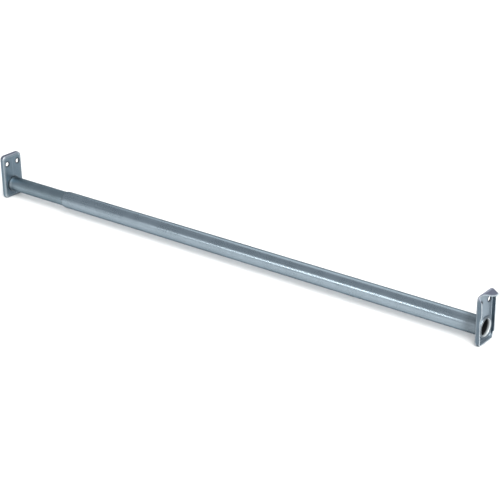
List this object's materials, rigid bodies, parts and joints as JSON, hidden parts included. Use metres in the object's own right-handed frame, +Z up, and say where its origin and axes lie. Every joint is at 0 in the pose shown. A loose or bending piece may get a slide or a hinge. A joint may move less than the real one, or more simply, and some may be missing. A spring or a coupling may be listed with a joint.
{
  "type": "adjustable telescopic hanging bar",
  "caption": "Telescopic round steel bar, one tube sliding and turning in the other, with a pressed screw-on bracket staked to each end.",
  "frame": {"origin": "on the surface that the bar stands on, midway between the two brackets and under the tube axis", "axes": "+X along the tubes towards the outer tube's bracket, +Y across the brackets, +Z up"},
  "size_m": [0.869, 0.04, 0.07],
  "materials": {
    "outer_tube_zinc": "bright blue-grey zinc plate, satin, with fine drawing lines along the tube",
    "inner_tube_zinc": "duller slate-green zinc plate, satin",
    "bracket_zinc": "satin blue-grey zinc plate on pressed sheet",
    "bush_nylon": "natural nylon"
  },
  "bodies": {
    "outer_section": {"outer_tube": "outer_tube_zinc", "outer_end_bracket": "bracket_zinc"},
    "glide": {"glide_bush": "bush_nylon"},
    "inner_section": {"inner_tube": "inner_tube_zinc", "inner_end_bracket": "bracket_zinc"}
  },
  "joints": [
    {"name": "extend", "type": "slide", "parent": "outer_section", "child": "glide", "axis": [-1, 0, 0], "range_m": [-0.104, 0.353]},
    {"name": "twist", "type": "hinge", "parent": "glide", "child": "inner_section", "pos_m": [0.1147, 0, 0.0205], "axis": [1, 0, 0], "continuous": true}
  ]
}
